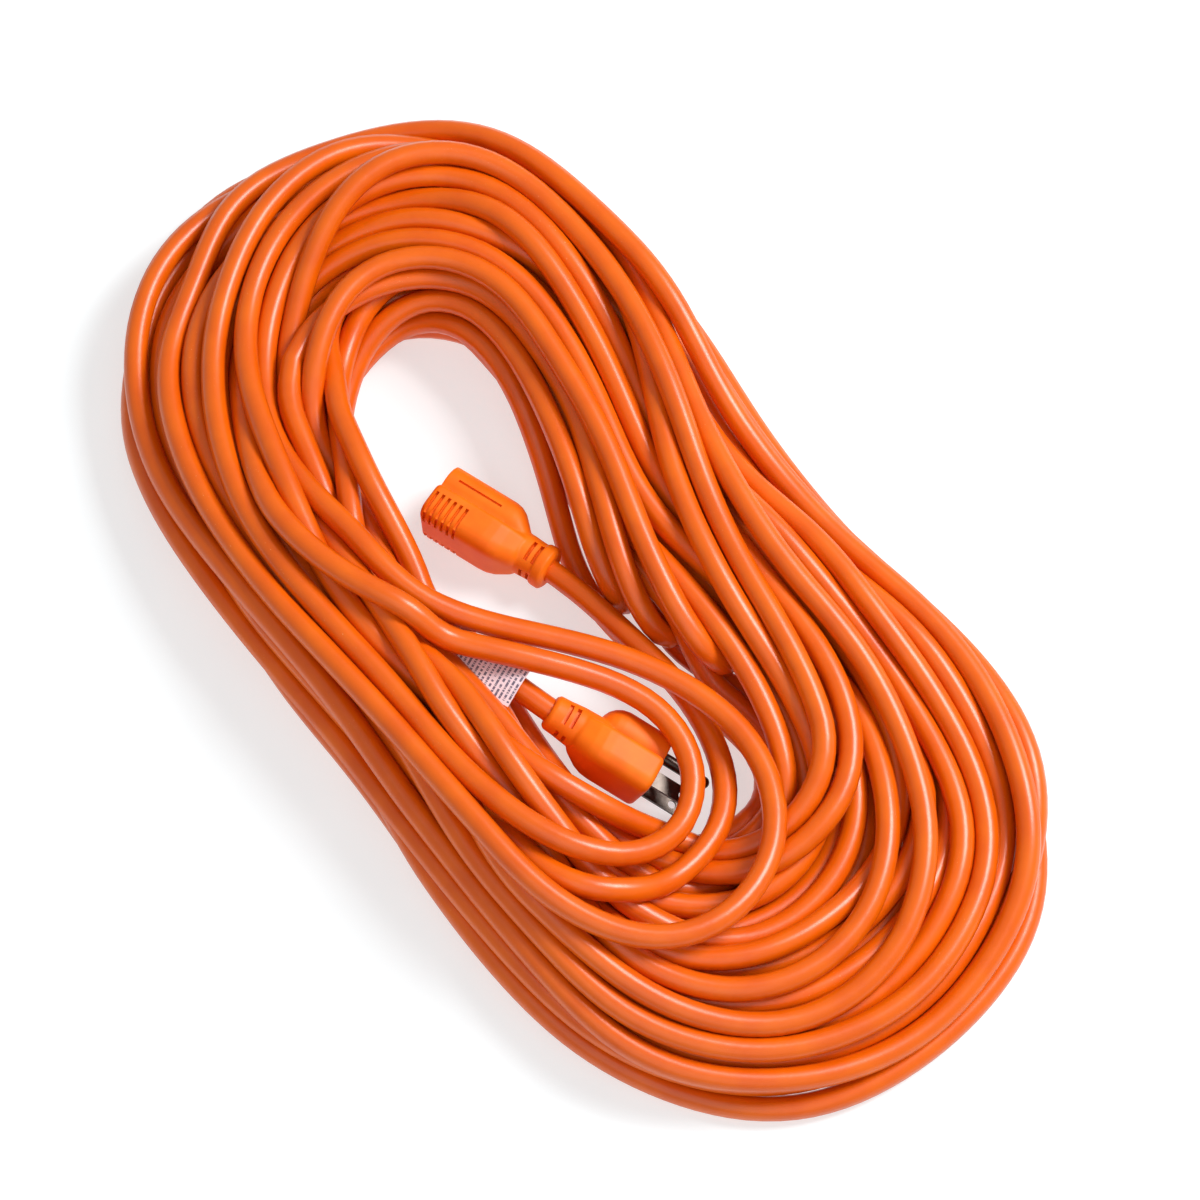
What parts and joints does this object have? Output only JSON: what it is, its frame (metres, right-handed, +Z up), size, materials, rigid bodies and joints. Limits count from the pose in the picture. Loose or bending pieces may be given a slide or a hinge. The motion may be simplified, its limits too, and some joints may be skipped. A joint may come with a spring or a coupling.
{
  "type": "extension cord",
  "caption": "Grounded outdoor extension cord in an orange jacket, folded into a loose oblong hank, with a molded blade plug, a single-outlet connector and a tag.",
  "frame": {"origin": "on the surface the hank lies on, under the middle of the whole part's box", "axes": "+X along the hank's long axis, from the lobe near the connector's open face towards the lobe near the plug; +Z up; +Y across the hank"},
  "size_m": [0.4405, 0.2143, 0.054],
  "materials": {
    "jacket_orange": "satin extruded vinyl",
    "molded_orange": "satin molded vinyl",
    "insert_plastic": "matte",
    "plated_blade": "nickel-plated, brushed",
    "contact_brass": "stamped",
    "copper": "bare stranded copper",
    "wire_black": "matte",
    "wire_white": "matte",
    "wire_green": "matte",
    "tag_white": "coated film"
  },
  "bodies": {
    "root": {"cord_hank": "jacket_orange", "connector_lead": "jacket_orange", "plug_lead": "jacket_orange", "long_loose_loop": "jacket_orange", "short_loose_loop": "jacket_orange", "warning_tag": "tag_white", "plug_body": "molded_orange", "plug_blade_carrier": "insert_plastic", "plug_hot_blade": "plated_blade", "plug_neutral_blade": "plated_blade", "plug_ground_pin": "plated_blade", "plug_hot_wire": "wire_black", "plug_neutral_wire": "wire_white", "plug_ground_wire": "wire_green", "plug_hot_strands": "copper", "plug_neutral_strands": "copper", "plug_ground_strands": "copper", "connector_body": "molded_orange", "connector_contact_carrier": "insert_plastic", "connector_hot_contact": "contact_brass", "connector_neutral_contact": "contact_brass", "connector_ground_contact": "contact_brass", "connector_hot_wire": "wire_black", "connector_neutral_wire": "wire_white", "connector_ground_wire": "wire_green", "connector_hot_strands": "copper", "connector_neutral_strands": "copper", "connector_ground_strands": "copper"}
  },
  "joints": []
}
